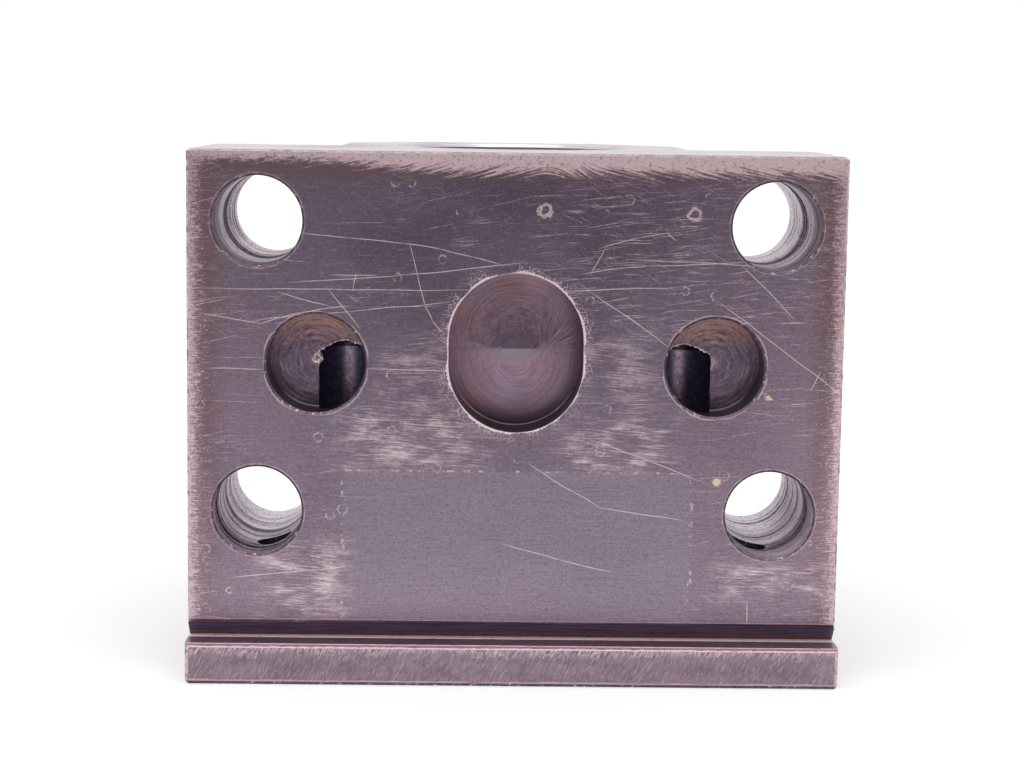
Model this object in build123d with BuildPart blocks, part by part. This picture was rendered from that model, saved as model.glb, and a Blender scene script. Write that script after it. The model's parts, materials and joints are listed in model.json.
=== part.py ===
from build123d import *
import math
import os

# Boring bar holder block for a lathe turret.
# The origin is on the axis of the bar bore, in the plane of the front end.
# +X runs across the base face, +Y from the base face towards the back of the housing,
# and +Z up along the bar bore, from the front end to the rear end.
# Lengths are in millimetres, angles in degrees.

# Bar bore
BORE_D = 40.0
BORE_TO_BASE = 42.0
BORE_CHAMFER = 0.5

# Flange with its four bolt holes
FLANGE_DEPTH = 35.0
BOLT_D = 13.5
BOLT_HEAD_ROOM = 10.0
BOLT_PITCH_Z = 44.0
BOLT_SIDE_MARGIN = 10.6
BOLT_TOP_MARGIN = 10.6
BOLT_LOW_MARGIN = 17.2
BOLT_CHAMFER = 0.3

# Locating lip along the front end, and the undercut between it and the base face
LIP_THICK = 6.3
LIP_STAND = 4.4
LIP_CHAMFER = 0.55
UNDERCUT_DEPTH = 2.3
UNDERCUT_RISE = 2.5
UNDERCUT_SINK = 0.1

# Housing behind the flange
SIDE_WALL = 9.0
BACK_WALL = 13.0
BACK_CORNER = 14.0
ROOT_FILLET = 1.0

# Relief pocket in the base face, milled with two plunges of one cutter
POCKET_D = 20.4
POCKET_STEP = 3.8
POCKET_DEPTH = 6.8
CORE_D = 9.2
CORE_SLOPE = 17.0

# Coolant ports in the base face
PORT_D = 15.0
PORT_PITCH = 60.4
PORT_RISE = 0.6
PORT_DEPTH = 6.3
PORT_CHAMFER = 0.35

# Coolant passages, drilled from the front end into the ports
PASSAGE_D = 9.0
PASSAGE_INSET = 4.2
PASSAGE_SINK = 1.7
PASSAGE_REACH = 4.0

# Coolant jets, screwed into the front mouths of the passages
JET_LEDGE = 0.5
JET_LENGTH = 5.0
JET_RECESS = 0.3
JET_CHAMFER = 0.5
JET_HOLE_D = 2.5
JET_SOCKET = 5.0
JET_SOCKET_DEPTH = 2.6

# Tapped holes in the front end, which just break into the lower bolt holes,
# plain at the pitch diameter of their M6 thread
TAPPED_D = 5.35
TAPPED_INSET = 1.8
TAPPED_FROM_BASE = 9.4
TAPPED_BREAK = 1.8

# Clamp screws in the back wall
CLAMP_D = 12.0
CLAMP_COUNT = 3
CLAMP_PITCH = 24.0
CLAMP_SETBACK = 0.5
CLAMP_CHAMFER = 1.0
CLAMP_SOCKET = 6.0
CLAMP_SOCKET_DEPTH = 6.0

# Details that several features share
DRILL_ANGLE = 118.0
THREAD_GAP = 0.1
THREAD_CHAMFER = 0.6
EDGE_CHAMFER = 0.5
FACE_CHAMFER = 0.3
SELECT_BAND = 0.01

# Heights above the front end
lip_top_z = LIP_THICK
face_edge_z = lip_top_z + UNDERCUT_RISE
bolt_low_z = face_edge_z + BOLT_LOW_MARGIN
bolt_mid_z = bolt_low_z + BOLT_PITCH_Z / 2
height = bolt_low_z + BOLT_PITCH_Z + BOLT_TOP_MARGIN
port_z = bolt_mid_z + PORT_RISE
pocket_mid_z = port_z + POCKET_STEP / 2
clamp_mid_z = height / 2

# Widths and depths
housing_width = BORE_D + 2 * SIDE_WALL
bolt_pitch_x = housing_width + 2 * BOLT_HEAD_ROOM
flange_width = bolt_pitch_x + 2 * BOLT_SIDE_MARGIN
base_y = -BORE_TO_BASE
flange_back_y = base_y + FLANGE_DEPTH
back_y = BORE_D / 2 + BACK_WALL
passage_x = PORT_PITCH / 2 - PASSAGE_INSET
passage_y = base_y + PORT_DEPTH + PASSAGE_SINK
tapped_x = bolt_pitch_x / 2 - TAPPED_INSET
tapped_y = base_y + TAPPED_FROM_BASE
jet_d = PASSAGE_D + 2 * JET_LEDGE
jet_seat_z = JET_LENGTH + JET_RECESS
clamp_length = BACK_WALL - 2 * CLAMP_SETBACK

# Working planes, each seen from outside the block
base_plane = Plane.XZ.offset(BORE_TO_BASE)
front_plane = Plane(origin=(0, 0, 0), x_dir=(1, 0, 0), z_dir=(0, 0, -1))
rear_plane = Plane.XY.offset(height)
back_plane = Plane(origin=(0, back_y, 0), x_dir=(-1, 0, 0), z_dir=(0, 1, 0))
lip_plane = Plane.YZ.offset(-flange_width / 2)


def tip_length(radius):
    """Length of the cone at the end of a drilled hole."""
    return radius / math.tan(math.radians(DRILL_ANGLE / 2))


def drilled_space(radius, depth):
    """The space of a drilled hole along +Z: full diameter to the depth, then the drill's cone."""
    with BuildPart() as space:
        with BuildSketch(Plane.XZ):
            with BuildLine():
                Polyline(
                    (0, 0),
                    (radius, 0),
                    (radius, depth),
                    (0, depth + tip_length(radius)),
                    close=True,
                )
            make_face()
        revolve(axis=Axis.Z)
    return space.part


def socket_screw(diameter, length, end_chamfer, socket, socket_depth):
    """A headless screw along +Z, with its hexagon socket in the top end."""
    with BuildPart() as screw:
        with BuildSketch():
            Circle(diameter / 2)
        extrude(amount=length)
        chamfer(screw.edges().filter_by(GeomType.CIRCLE), end_chamfer)
        with BuildSketch(Plane.XY.offset(length)):
            RegularPolygon(socket / 2, 6, major_radius=False)
        extrude(amount=-socket_depth, mode=Mode.SUBTRACT)
    return screw.part


def round_edges(builder, diameter):
    """The circular edges of this diameter."""
    circles = builder.edges().filter_by(GeomType.CIRCLE)
    return circles.filter_by(lambda edge: abs(2 * edge.radius - diameter) < SELECT_BAND)


def save_piece(builder, name):
    """Label a finished piece and write it."""
    builder.part.label = name
    export_step(builder.part, f"parts/{name}.step")


# What both plunges of the pocket cutter leave standing: two low cones, cut by each other
core_height = CORE_D / 2 * math.tan(math.radians(CORE_SLOPE))
core_seat = (Align.CENTER, Align.CENTER, Align.MIN)
with BuildPart(base_plane.offset(-POCKET_DEPTH)) as pocket_core:
    with Locations((0, port_z)):
        Cone(CORE_D / 2, 0, core_height, align=core_seat)
    with Locations((0, port_z + POCKET_STEP)):
        Cone(CORE_D / 2, 0, core_height, align=core_seat, mode=Mode.INTERSECT)

# Spaces of the holes that are drilled from the front end
passage_depth = port_z + PASSAGE_REACH - tip_length(PASSAGE_D / 2)
passage_space = drilled_space(PASSAGE_D / 2, passage_depth)
tapped_depth = bolt_low_z - BOLT_D / 2 + TAPPED_BREAK
tapped_space = drilled_space(TAPPED_D / 2, tapped_depth)

with BuildPart() as block:
    # Flange and housing, one outline over the whole height
    with BuildSketch() as outline:
        with BuildLine():
            Polyline(
                (-flange_width / 2, base_y),
                (flange_width / 2, base_y),
                (flange_width / 2, flange_back_y),
                (housing_width / 2, flange_back_y),
                (housing_width / 2, back_y - BACK_CORNER),
                (housing_width / 2 - BACK_CORNER, back_y),
                (-housing_width / 2 + BACK_CORNER, back_y),
                (-housing_width / 2, back_y - BACK_CORNER),
                (-housing_width / 2, flange_back_y),
                (-flange_width / 2, flange_back_y),
                close=True,
            )
        make_face()
        back_corners = outline.vertices().filter_by_position(
            Axis.Y, flange_back_y - SELECT_BAND, flange_back_y + SELECT_BAND
        )
        wing_left, root_left, root_right, wing_right = back_corners.sort_by(Axis.X)
        chamfer([wing_left, wing_right], EDGE_CHAMFER)
        fillet([root_left, root_right], ROOT_FILLET)
    extrude(amount=height)

    # Locating lip
    with BuildSketch(lip_plane):
        with BuildLine():
            Polyline(
                (base_y, 0),
                (base_y - LIP_STAND, 0),
                (base_y - LIP_STAND, lip_top_z),
                (base_y, lip_top_z),
                close=True,
            )
        make_face()
    extrude(amount=flange_width)

    # Undercut, which lets a square corner seat on both the base face and the lip.
    # Its floor lies just below the lip's ground seat, which ends at the base face.
    with BuildSketch(lip_plane):
        with BuildLine():
            Polyline(
                (base_y, lip_top_z - UNDERCUT_SINK),
                (base_y + UNDERCUT_DEPTH, lip_top_z - UNDERCUT_SINK),
                (base_y, face_edge_z),
                close=True,
            )
        make_face()
    extrude(amount=flange_width, mode=Mode.SUBTRACT)

    # Broken edges: the lip's front, the base face, then the rear end and the front end
    lip_face = block.faces().filter_by(Axis.Y).sort_by(Axis.Y)[0]
    chamfer(lip_face.outer_wire().edges(), LIP_CHAMFER)
    base_face = block.faces().filter_by(Axis.Y).group_by(Axis.Y)[1].sort_by(SortBy.AREA)[-1]
    chamfer(base_face.outer_wire().edges(), FACE_CHAMFER)
    for end_face in (block.faces().sort_by(Axis.Z)[-1], block.faces().sort_by(Axis.Z)[0]):
        chamfer(end_face.outer_wire().edges().sort_by(Axis.Y)[1:], EDGE_CHAMFER)

    # Bar bore, right through
    with Locations(rear_plane):
        Hole(BORE_D / 2)
    chamfer(round_edges(block, BORE_D), BORE_CHAMFER)

    # Bolt holes, right through the flange
    with Locations(base_plane):
        with Locations((0, bolt_mid_z)):
            with GridLocations(bolt_pitch_x, BOLT_PITCH_Z, 2, 2):
                Hole(BOLT_D / 2, FLANGE_DEPTH)
    chamfer(round_edges(block, BOLT_D), BOLT_CHAMFER)

    # Relief pocket, with the core that the cutter leaves on its floor
    with BuildSketch(base_plane):
        with Locations((0, pocket_mid_z)):
            SlotCenterToCenter(POCKET_STEP, POCKET_D, rotation=90)
    extrude(amount=-POCKET_DEPTH, mode=Mode.SUBTRACT)
    add(pocket_core.part)

    # Coolant ports
    with Locations(base_plane):
        with Locations((0, port_z)):
            with GridLocations(PORT_PITCH, 0, 2, 1):
                Hole(PORT_D / 2, PORT_DEPTH)
    chamfer(round_edges(block, PORT_D).group_by(Axis.Y)[0], PORT_CHAMFER)

    # Seats of the clamp screws, through the back wall
    with Locations(back_plane):
        with Locations((0, clamp_mid_z)):
            with GridLocations(0, CLAMP_PITCH, 1, CLAMP_COUNT):
                Hole(CLAMP_D / 2 + THREAD_GAP, BACK_WALL + BORE_D / 2)
    chamfer(round_edges(block, CLAMP_D + 2 * THREAD_GAP), THREAD_CHAMFER)

    # Coolant passages with the seats of their jets, and the tapped holes beside them
    with Locations(front_plane):
        with Locations((-passage_x, -passage_y), (passage_x, -passage_y)):
            Hole(jet_d / 2 + THREAD_GAP, jet_seat_z)
    for side in (-1, 1):
        with Locations((side * passage_x, passage_y, 0)):
            add(passage_space, mode=Mode.SUBTRACT)
        with Locations((side * tapped_x, tapped_y, 0)):
            add(tapped_space, mode=Mode.SUBTRACT)

os.makedirs("parts", exist_ok=True)
save_piece(block, "block")

# Clamp screws, numbered from the front end, each just short of the bore and of the back face
clamp_screw = socket_screw(CLAMP_D, clamp_length, CLAMP_CHAMFER, CLAMP_SOCKET, CLAMP_SOCKET_DEPTH)
for index in range(CLAMP_COUNT):
    seat_z = clamp_mid_z + (index - (CLAMP_COUNT - 1) / 2) * CLAMP_PITCH
    seat = Plane(origin=(0, BORE_D / 2 + CLAMP_SETBACK, seat_z), x_dir=(1, 0, 0), z_dir=(0, 1, 0))
    with BuildPart() as placed_screw:
        with Locations(seat):
            add(clamp_screw)
    save_piece(placed_screw, f"clamp_screw_{index + 1}")

# Coolant jets, seated on the ledges inside the passages' mouths
with BuildPart() as jet:
    add(socket_screw(jet_d, JET_LENGTH, JET_CHAMFER, JET_SOCKET, JET_SOCKET_DEPTH))
    Hole(JET_HOLE_D / 2)
for side, name in ((-1, "coolant_jet_left"), (1, "coolant_jet_right")):
    seat = Plane(origin=(side * passage_x, passage_y, jet_seat_z), x_dir=(1, 0, 0), z_dir=(0, 0, -1))
    with BuildPart() as placed_jet:
        with Locations(seat):
            add(jet.part)
    save_piece(placed_jet, name)
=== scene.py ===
import functools
import json
import math
import random

import bmesh
import bpy
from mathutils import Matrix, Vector


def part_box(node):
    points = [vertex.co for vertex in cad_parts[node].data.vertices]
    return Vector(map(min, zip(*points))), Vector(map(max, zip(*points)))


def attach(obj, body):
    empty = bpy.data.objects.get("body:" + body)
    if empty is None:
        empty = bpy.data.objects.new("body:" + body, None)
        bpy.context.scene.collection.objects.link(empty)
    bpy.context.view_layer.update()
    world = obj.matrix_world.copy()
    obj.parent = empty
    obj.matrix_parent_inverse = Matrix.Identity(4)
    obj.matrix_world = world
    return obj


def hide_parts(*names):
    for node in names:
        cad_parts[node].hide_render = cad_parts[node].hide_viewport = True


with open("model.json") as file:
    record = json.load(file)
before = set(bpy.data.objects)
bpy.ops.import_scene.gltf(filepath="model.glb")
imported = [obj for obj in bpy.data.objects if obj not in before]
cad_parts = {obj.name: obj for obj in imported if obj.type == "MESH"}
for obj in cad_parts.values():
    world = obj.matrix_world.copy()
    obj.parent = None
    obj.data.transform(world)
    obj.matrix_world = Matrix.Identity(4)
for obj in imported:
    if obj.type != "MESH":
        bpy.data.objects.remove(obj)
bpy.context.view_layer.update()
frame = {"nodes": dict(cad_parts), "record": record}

# The scene is in metres. Places on the part are named in millimetres in the part's frame, and so are the
# lengths inside the materials. A shade is a colour as it is displayed, with values from 11 to 255.
MM = 0.001
MOUNTS = {mount["name"]: mount for mount in frame["record"]["mounts"]}


def mm(length):
    return length / MM


def place_of(mount):
    return [mm(value) for value in MOUNTS[mount]["pos_m"]]


LOW, HIGH = [[mm(value) for value in corner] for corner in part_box("block")]
BASE_Y = place_of("base_face")[1]
SEAT_Z = place_of("lip_seat")[2]
PORT_R = MOUNTS["coolant_port_right"]["dims"]["r_mm"]
PORT_X, _, PORT_Z = place_of("coolant_port_right")
PORT_FLOOR_Y = BASE_Y + 6.3
BOLTS = MOUNTS["base_bolts"]["dims"]
BOLT_R = BOLTS["hole_r_mm"]
BOLT_X = BOLTS["spacing_x_mm"] / 2
BOLT_Z = place_of("base_bolts")[2]
BOLT_HALF_Z = BOLTS["spacing_y_mm"] / 2
BOLT_ROWS = (BOLT_Z - BOLT_HALF_Z, BOLT_Z + BOLT_HALF_Z)
TAPPED_X = MOUNTS["front_tapped_holes"]["dims"]["spacing_x_mm"] / 2
TAPPED_Y = place_of("front_tapped_holes")[1]
TAPPED_REACH = 2.8
TAPPED_TOP = 20.6
BORE_R = MOUNTS["bar_bore"]["dims"]["r_mm"]
JET_LOW, JET_HIGH = [[mm(value) for value in corner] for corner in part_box("coolant_jet_right")]
PASSAGE_X = (JET_LOW[0] + JET_HIGH[0]) / 2
PASSAGE_Y = (JET_LOW[1] + JET_HIGH[1]) / 2
PASSAGE_REACH = 5.2
PASSAGE_TOP = 55
OPENING_Z = PORT_Z - 3
FLANGE = 35
POCKET_R = 10.2
POCKET_LOW_Z = PORT_Z
POCKET_HIGH_Z = PORT_Z + 3.8
POCKET_MID_Z = (POCKET_LOW_Z + POCKET_HIGH_Z) / 2
POCKET_BACK_Y = BASE_Y + 9
CORE_R = 4.6
FACE_LOW_Z = SEAT_Z + 2.5
GROOVE_BACK_Y = BASE_Y + 2.35
LIP_NEAR_Y = BASE_Y - 4
HOUSING_X = 29
HOUSING_ROOT = 3
# How far each opening's chamfer reaches past its radius.
BOLT_RIM, PORT_RIM, POCKET_RIM, BORE_RIM = 0.31, 0.36, 0.32, 0.55
# How far from a surface the middle of one of its faces may lie.
NEAR = 0.05


def linear(shade):
    """A shade as the linear colour that a shader takes."""
    return (*[((value / 255 + 0.055) / 1.055) ** 2.4 for value in shade], 1)


def new_node(tree, kind, inputs=(), **settings):
    """A new node. Its inputs are numbers, tuples or outputs of other nodes."""
    node = tree.nodes.new("ShaderNode" + kind)
    for name, setting in settings.items():
        setattr(node, name, setting)
    for socket, value in inputs.items() if isinstance(inputs, dict) else enumerate(inputs):
        if isinstance(value, bpy.types.NodeSocket):
            tree.links.new(value, node.inputs[socket])
        else:
            node.inputs[socket].default_value = value
    return node


class Graph:
    """Short calls that build one material. A value is a number, a tuple or a node's output."""

    def __init__(self, name, metallic, roughness):
        self.material = bpy.data.materials.new(name)
        self.material.use_nodes = True
        self.tree = self.material.node_tree
        self.shader = self.tree.nodes["Principled BSDF"]
        self.shader.inputs["Metallic"].default_value = metallic
        self.shader.inputs["Roughness"].default_value = roughness
        coordinates = self.node("TexCoord").outputs["Object"]
        self.place = self.vector("SCALE", coordinates, Scale=1 / MM)
        self.x, self.y, self.z = self.split(self.place)

    def node(self, kind, inputs=(), **settings):
        return new_node(self.tree, kind, inputs, **settings)

    def math(self, operation, *values):
        return self.node("Math", values, operation=operation).outputs[0]

    def plus(self, first, second):
        return self.math("ADD", first, second)

    def minus(self, first, second):
        return self.math("SUBTRACT", first, second)

    def times(self, *values):
        return functools.reduce(lambda first, second: self.math("MULTIPLY", first, second), values)

    def most(self, *values):
        return functools.reduce(lambda first, second: self.math("MAXIMUM", first, second), values)

    def vector(self, operation, *values, **named):
        inputs = {**dict(enumerate(values)), **named}
        single = operation in ("LENGTH", "DISTANCE", "DOT_PRODUCT")
        return self.node("VectorMath", inputs, operation=operation).outputs["Value" if single else "Vector"]

    def split(self, vector):
        return self.node("SeparateXYZ", [vector]).outputs

    def join(self, x, y, z):
        return self.node("CombineXYZ", (x, y, z)).outputs[0]

    def smooth(self, value, low, high, start=0, end=1):
        """Goes from start to end as the value goes from low to high."""
        inputs = (value, low, high, start, end)
        return self.node("MapRange", inputs, interpolation_type="SMOOTHSTEP").outputs[0]

    def jitter(self, value, noise, amount):
        """The value, made uneven by that amount of a noise."""
        return self.plus(value, self.times(noise, amount))

    def gloss(self, noise, start, end):
        """A roughness that goes from start to end over the middle of a noise."""
        return self.smooth(noise, 0.3, 0.7, start, end)

    def noise(self, scale, detail=2, rough=0.5, place=None, colours=False):
        """Noise with that many waves a millimetre, as a value or as three values in one colour."""
        inputs = {"Vector": place or self.place, "Scale": scale, "Detail": detail, "Roughness": rough}
        return self.node("TexNoise", inputs).outputs["Color" if colours else 0]

    def drawn(self, size, detail, rough=0.5, turn=(0, 0, 0), place=None):
        """Noise with waves of that size along each axis, turned by the angles in degrees."""
        return self.noise(1, detail, rough, self.stretch(place or self.place, size, turn))

    def around(self, dx, dz, pitch, along, detail=4):
        """Noise in rings round a centre, with the distance from it.

        Pitch is the size of the noise outwards, and along its size along the ring of 1 mm radius.
        """
        flat = self.join(dx, 0, dz)
        radius = self.vector("LENGTH", flat)
        direction = self.vector("SCALE", self.vector("NORMALIZE", flat), Scale=1 / along)
        outwards = self.join(0, self.math("DIVIDE", radius, pitch), 0)
        return radius, self.noise(1, detail, 0.65, self.vector("ADD", direction, outwards))

    def stretch(self, vector, size, turn=(0, 0, 0), centre=(0, 0, 0)):
        """The vector from the centre, turned back by the angles in degrees and divided by the size."""
        turn = [math.radians(angle) for angle in turn]
        inputs = {"Vector": vector, "Location": centre, "Rotation": turn, "Scale": size}
        return self.node("Mapping", inputs, vector_type="TEXTURE").outputs[0]

    def hairs(self, place, length, width, rise, low, high):
        """Fine scratches along x that rise by that many degrees: the higher low and high, the fewer."""
        return self.smooth(self.drawn((length, 1, width), 1, turn=(0, -rise, 0), place=place), low, high)

    def marks(self, cell, length, width, angle, spread, share, shift=0, along=None):
        """Short random scratches in the plane of x, or along, and z: at most one in each cell."""
        flat = self.join(self.plus(along or self.x, shift), self.z, 0)
        scaled = self.vector("SCALE", flat, Scale=1 / cell)
        cells = self.node("TexVoronoi", {"Vector": scaled, "Scale": 1}, voronoi_dimensions="2D").outputs
        chance = self.split(cells["Color"])
        low, high = [math.radians(value) for value in (angle - spread, angle + spread)]
        away = self.vector("SUBTRACT", scaled, cells["Position"])
        turn = {"Vector": away, "Angle": self.smooth(chance[0], 0, 1, -low, -high)}
        turned = self.node("VectorRotate", turn, rotation_type="Z_AXIS").outputs[0]
        size = (length / 2 / cell, width / 2 / cell, 1)
        far = self.split(self.vector("ABSOLUTE", self.vector("DIVIDE", turned, size)))
        inside = self.smooth(self.most(far[0], far[1]), 1, 0.5)
        return self.times(inside, self.math("LESS_THAN", chance[1], share))

    def box(self, place, size, turn, middle):
        """How far a place is from the middle of a box in x and z, with 1 at its borders."""
        far = self.split(self.vector("ABSOLUTE", self.stretch(place, size, turn, middle)))
        return self.most(far[0], far[2])

    def strokes(self, place, lines, width):
        """1 on any of the lines, each a run of places (x, z), and 0 beside them."""
        nearest = None
        for line in lines:
            for (x0, z0), (x1, z1) in zip(line, line[1:]):
                reach = math.hypot(x1 - x0, z1 - z0) / 2 + width / 2
                turn = math.degrees(math.atan2(z0 - z1, x1 - x0))
                middle = ((x0 + x1) / 2, BASE_Y, (z0 + z1) / 2)
                distance = self.box(place, (reach, 100, width / 2), (0, turn, 0), middle)
                nearest = distance if nearest is None else self.math("MINIMUM", nearest, distance)
        return self.smooth(nearest, 1.3, 0.5)

    def rings(self, place, dents, thickness, ragged=None):
        """1 on rings, given as places (x, z) by radius. Ragged is added to the distance from them."""
        found = None
        for radius, centres in dents.items():
            for x, z in centres:
                distance = self.vector("DISTANCE", place, (x, BASE_Y, z))
                if ragged:
                    distance = self.plus(distance, ragged)
                on_ring = self.math("COMPARE", distance, radius, thickness)
                found = self.most(found, on_ring) if found else on_ring
        return found

    def patch(self, corners, soft):
        """1 inside a rectangle of x and z and 0 outside, with soft borders."""
        x0, x1, z0, z1 = corners
        size = ((x1 - x0) / 2, 100, (z1 - z0) / 2)
        far = self.box(self.place, size, (0, 0, 0), ((x0 + x1) / 2, BASE_Y, (z0 + z1) / 2))
        return self.smooth(far, 1 + soft, 1 - soft)

    def blend(self, first, second, factor):
        """From the first colour to the second as the factor goes from 0 to 1."""
        return self.node("Mix", {0: factor, 6: first, 7: second}, data_type="RGBA").outputs[2]

    def start(self, first, second, value, low, high):
        """Starts the tint, from one shade to the other as the value goes from low to high."""
        self.tint = self.blend(linear(first), linear(second), self.smooth(value, low, high))

    def tinge(self, shade, *factors):
        """Blends the shade into the tint by the product of the factors."""
        self.tint = self.blend(self.tint, linear(shade), self.times(*factors))

    def fade(self, shade, value, low, high, *factors):
        """Blends the shade into the tint as the value goes from low to high, times the factors."""
        self.tinge(shade, self.smooth(value, low, high), *factors)

    def finish(self, roughness, height, depth):
        """The material with its tint, roughness, and height as a bump of depth millimetres."""
        bump = self.node("Bump", {"Height": height, "Distance": depth * MM}).outputs[0]
        for name, output in (("Base Color", self.tint), ("Roughness", roughness), ("Normal", bump)):
            self.tree.links.new(output, self.shader.inputs[name])
        return self.material


OXIDE = (126, 108, 120)
OXIDE_DEEP = (104, 88, 100)
OXIDE_BROWN = (128, 104, 108)
BARE = (205, 186, 192)
FACE_HIGH = (106, 89, 108)
FACE_LOW = (154, 133, 148)
FACE_BLUE = (128, 116, 138)
FACE_ZONE = (152, 138, 154)
FACE_SHADE = (96, 78, 96)
FACE_BROWN = (124, 96, 101)
FACE_PALE = (236, 215, 219)
FACE_WORN = (246, 216, 221)
FACE_RIM = (252, 232, 235)
# The outside was milled in arcs round a line this far below the block.
MILL_BELOW = 70


def edge_wear(g, radius, breakup):
    """1 near the edges of the mesh and 0 inside its faces, broken up by a noise."""
    bevel = g.node("Bevel", {"Radius": radius * MM}, samples=4).outputs[0]
    facing = g.vector("DOT_PRODUCT", bevel, g.node("NewGeometry").outputs["Normal"])
    near = g.smooth(facing, 0.998, 0.93)
    return g.smooth(g.plus(near, breakup), 0.75, 1.15)


def above_slot(g):
    """How far above the pocket's slot a place is, negative below it."""
    slot_z = g.most(g.math("MINIMUM", g.z, POCKET_HIGH_Z), POCKET_LOW_Z)
    return g.minus(g.z, slot_z)


def outer_steel():
    """The milled and oxidised outside: sides, back and the shoulder of the flange."""
    g = Graph("outer_steel", 0.8, 0.42)
    along = g.minus(g.math("ABSOLUTE", g.x), g.times(g.y, 0.6))
    flat = g.join(along, 0, g.z)
    grain = g.noise(1.5, 4, 0.7)
    breakup = g.noise(0.6, 4, 0.7)
    _, mill = g.around(along, g.plus(g.z, MILL_BELOW), 0.9, 0.12)
    g.start(OXIDE_DEEP, OXIDE, g.noise(0.045, 4, 0.6), 0.35, 0.65)
    g.fade(OXIDE_BROWN, g.noise(0.09, 5), 0.5, 0.8, 0.6)
    g.fade(FACE_SHADE, mill, 0.48, 0.34, 0.5)
    g.fade(FACE_LOW, mill, 0.55, 0.7, 0.35)
    g.fade(FACE_SHADE, grain, 0.46, 0.34, 0.45)
    fields = g.smooth(g.noise(0.07, 3), 0.5, 0.66)
    fine = g.most(g.hairs(flat, 5, 0.14, 3, 0.66, 0.72), g.hairs(flat, 4, 0.12, 24, 0.69, 0.75))
    marks = g.most(
        g.marks(9, 8.5, 0.12, 4, 25, 0.6, along=along),
        g.times(g.marks(4, 3.6, 0.1, 0, 90, 0.5, 40, along=along), fields),
        g.times(fine, fields),
    )
    g.tinge(FACE_PALE, marks, g.smooth(grain, 0.4, 0.55, 0.15, 0.7))
    g.fade(BARE, g.drawn((7, 1, 1.6), 5, 0.7, place=flat), 0.58, 0.7, fields, 0.45)
    g.tinge(BARE, edge_wear(g, 1.6, g.minus(breakup, 0.42)), g.smooth(grain, 0.36, 0.5, 0.55, 1))
    return g.finish(g.jitter(0.32, breakup, 0.2), mill, 0.015)


def rim_steel():
    """Chamfers of the outer edges, where the oxide has worn through to bare steel."""
    g = Graph("rim_steel", 0.85, 0.35)
    breakup = g.noise(1.3, 4, 0.7)
    g.start(OXIDE, BARE, breakup, 0.36, 0.52)
    g.fade(FACE_BROWN, g.noise(0.35, 3), 0.55, 0.65, 0.6)
    return g.finish(g.jitter(0.24, breakup, 0.3), breakup, 0.03)


def mouth_steel():
    """The chamfers round the holes of the base face: oxide with a few bare spots."""
    g = Graph("mouth_steel", 0.8, 0.42)
    breakup = g.noise(1.1, 4, 0.7)
    g.start((84, 68, 84), (116, 98, 114), breakup, 0.36, 0.55)
    g.fade(FACE_PALE, breakup, 0.57, 0.66, 0.85)
    return g.finish(g.jitter(0.3, breakup, 0.25), breakup, 0.02)


def lip_edge_steel():
    """The upper chamfer of the lip: dark between two bright lines."""
    g = Graph("lip_edge_steel", 0.8, 0.4)
    breakup = g.drawn((1.6, 1, 1), 4, 0.7)
    down = g.minus(SEAT_Z, g.z)
    upper = g.smooth(g.jitter(down, breakup, 0.2), 0.26, 0.12)
    lower = g.smooth(g.jitter(down, breakup, 0.5), 0.55, 0.72)
    g.start((104, 74, 86), (138, 108, 116), breakup, 0.35, 0.65)
    g.tinge((206, 180, 188), g.most(g.times(upper, 0.7), g.times(lower, 0.85)))
    return g.finish(g.gloss(breakup, 0.3, 0.5), breakup, 0.02)


# Long scratches on the base face: each is a run of places (x, z).
SCRATCHES = (
    ((-31.8, 68.1), (-25.1, 67.6), (-17, 66.8), (-11.6, 66.1), (-6.5, 65), (-2.6, 63.8)),
    ((-16.1, 66.6), (-14.9, 62.2), (-13.9, 57.5), (-12.7, 55.1), (-11.3, 53.5)),
    ((-45.9, 59.8), (-7.5, 60)), ((-33.3, 60.9), (-17.6, 62.1), (0.1, 64)),
    ((-38.7, 55.1), (-25, 56.6), (-10.5, 58)), ((-45.8, 47.7), (-38.3, 47.7)),
    ((-22, 47.9), (-10.4, 47.7)), ((-35.5, 59.2), (-28.1, 57.3)),
    ((-47.1, 56), (-38.5, 54.5), (-32.5, 56.4), (-25.8, 57.4)), ((-24.2, 62.2), (-24.6, 59.8)),
    ((-27.6, 62.1), (-21.3, 62.1)), ((-28.1, 59.7), (-24, 54.4)), ((7.5, 60.2), (23, 60.7)),
    ((9.9, 62.8), (19.9, 64), (34.2, 64.7)), ((11.3, 59.8), (23.1, 51.8)), ((30.5, 58.7), (49.2, 44.9)),
    ((34.2, 63.7), (42, 56.2)), ((12.7, 66.6), (18.3, 68.1), (22.5, 68.8), (23.7, 67.9)),
    ((13.1, 66.3), (11.1, 62.9)), ((18.4, 64.8), (27.4, 64.7), (36.5, 64), (42.5, 64.9)),
    ((46, 48.2), (44.6, 45.5)), ((-42.4, 15.6), (-29.4, 17), (-25.6, 17.5)), ((28.3, 31.4), (11.4, 37.4)),
    ((2.4, 33.5), (13.1, 27.1), (25.4, 25.2)), ((-1.3, 21), (7.2, 18.8), (14.9, 17)),
    ((36, 12.4), (36.1, 9.4)),
)
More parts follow.
